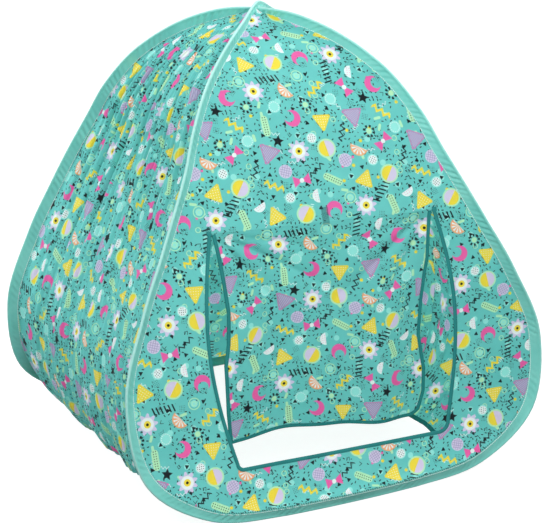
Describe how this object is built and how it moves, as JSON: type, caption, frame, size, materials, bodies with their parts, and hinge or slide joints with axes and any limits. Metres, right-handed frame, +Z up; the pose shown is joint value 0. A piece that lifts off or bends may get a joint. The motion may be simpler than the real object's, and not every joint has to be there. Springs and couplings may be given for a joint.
{
  "type": "kids play tent",
  "caption": "Pop-up play tent on a crossed loop of spring wire: printed front panel with a cut door and a hanging flap, plain back panel, slack side gussets, open ground.",
  "frame": {"origin": "on the ground, under the place where the two strands of the loop cross", "axes": "+Z up, -Y out of the door, +X to the right of someone who looks at the door from outside"},
  "size_m": [0.96, 0.789, 0.984],
  "materials": {
    "printed_cloth": "light woven polyester with a printed pattern on teal",
    "sleeve_cloth": "plain light teal woven polyester",
    "binding_tape": "dark teal folded tape",
    "spring_steel": "bare spring wire"
  },
  "bodies": {
    "back_frame": {"back_sleeve": "sleeve_cloth", "back_wire": "spring_steel", "wire_ferrule": "spring_steel", "back_panel": "printed_cloth", "left_gusset": "printed_cloth", "right_gusset": "printed_cloth", "left_hem_tape": "binding_tape", "right_hem_tape": "binding_tape"},
    "front_frame": {"front_sleeve": "sleeve_cloth", "front_wire": "spring_steel", "front_panel": "printed_cloth", "door_binding": "binding_tape", "door_tack_left": "binding_tape", "door_tack_right": "binding_tape"},
    "flap": {"door_flap": "printed_cloth", "flap_binding": "binding_tape"},
    "tie_tab": {"flap_tab": "binding_tape"}
  },
  "joints": [
    {"name": "fold", "type": "hinge", "parent": "back_frame", "child": "front_frame", "pos_m": [0, 0, 0.95], "axis": [1, 0, 0], "range_deg": [0, 42], "stiffness_Nm_per_rad": 1.5, "springref_deg": -45.84, "deforming": ["left_gusset", "right_gusset", "left_hem_tape", "right_hem_tape", "door_flap", "flap_binding"]},
    {"name": "flap_swing", "type": "hinge", "parent": "front_frame", "child": "flap", "pos_m": [0.01474, -0.28152, 0.5917], "axis": [0.9967, -0.0639, -0.0495], "range_deg": [-60, 80]},
    {"name": "tab_swing", "type": "hinge", "parent": "front_frame", "child": "tie_tab", "pos_m": [0.01945, -0.2748, 0.62174], "axis": [0.9968, -0.0609, -0.052], "range_deg": [-10, 150]}
  ]
}
